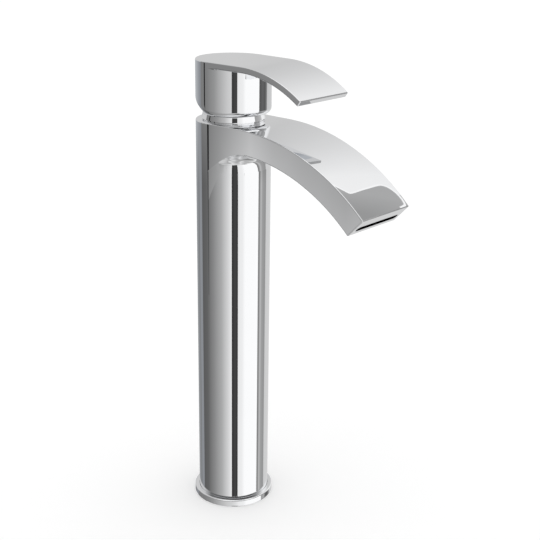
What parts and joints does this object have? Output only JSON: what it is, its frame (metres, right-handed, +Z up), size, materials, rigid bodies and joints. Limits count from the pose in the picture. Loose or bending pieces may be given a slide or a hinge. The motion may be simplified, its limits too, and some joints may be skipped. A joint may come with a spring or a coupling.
{
  "type": "waterfall basin faucet",
  "caption": "Tall chrome basin mixer: round column on a base ring, broad flat spout curving down to a wide slot, and a flat curved lever that swivels and lifts over a ceramic disc cartridge.",
  "frame": {"origin": "centre of the base ring's underside, where the tap stands on the deck", "axes": "+Z up along the column; the spout and the lever point along -Y; +X is to the right of someone who faces the tap's back, and to the left of someone who faces the spout"},
  "size_m": [0.054, 0.1486, 0.3039],
  "materials": {
    "polished_chrome": "polished chrome plate over cast brass",
    "plain_brass": "machined, unplated",
    "steel_pin": "ground stainless steel",
    "black_rubber": "moulded, matt black",
    "valve_ceramic": "lapped, off-white",
    "valve_plastic": "moulded, off-white",
    "case_plastic": "moulded, grey-blue",
    "plug_plastic": "silver-grey, glossy"
  },
  "bodies": {
    "root": {"body_casting": "polished_chrome", "base_ring": "polished_chrome", "base_gasket": "black_rubber", "foot_plate": "plain_brass", "valve_block": "plain_brass", "block_o_rings": "black_rubber", "lock_ring": "plain_brass", "cartridge_base": "valve_plastic", "port_seals": "black_rubber", "fixed_disc": "valve_ceramic", "cartridge_case": "case_plastic", "retaining_nut": "plain_brass", "collar": "polished_chrome", "collar_o_ring": "black_rubber"},
    "swivel": {"stem_sleeve": "valve_plastic", "sleeve_o_ring": "black_rubber", "pivot_pin": "steel_pin"},
    "lever": {"lever_stem": "plain_brass", "lever_handle": "polished_chrome", "grub_screw": "steel_pin", "screw_plug": "plug_plastic"},
    "slider": {"disc_carrier": "valve_plastic", "moving_disc": "valve_ceramic"}
  },
  "joints": [
    {"name": "lever_swivel", "type": "hinge", "parent": "root", "child": "swivel", "pos_m": [0, 0, 0.253], "axis": [0, 0, 1], "range_deg": [-50, 50]},
    {"name": "lever_lift", "type": "hinge", "parent": "swivel", "child": "lever", "pos_m": [0, 0, 0.253], "axis": [-1, 0, 0], "range_deg": [0, 25]},
    {"name": "disc_slide", "type": "slide", "parent": "swivel", "child": "slider", "axis": [0, -1, 0], "range_m": [0, 0.00395]}
  ],
  "couplings": [
    {"joint": "disc_slide", "follows": "lever_lift", "m_per_rad": 0.009}
  ]
}
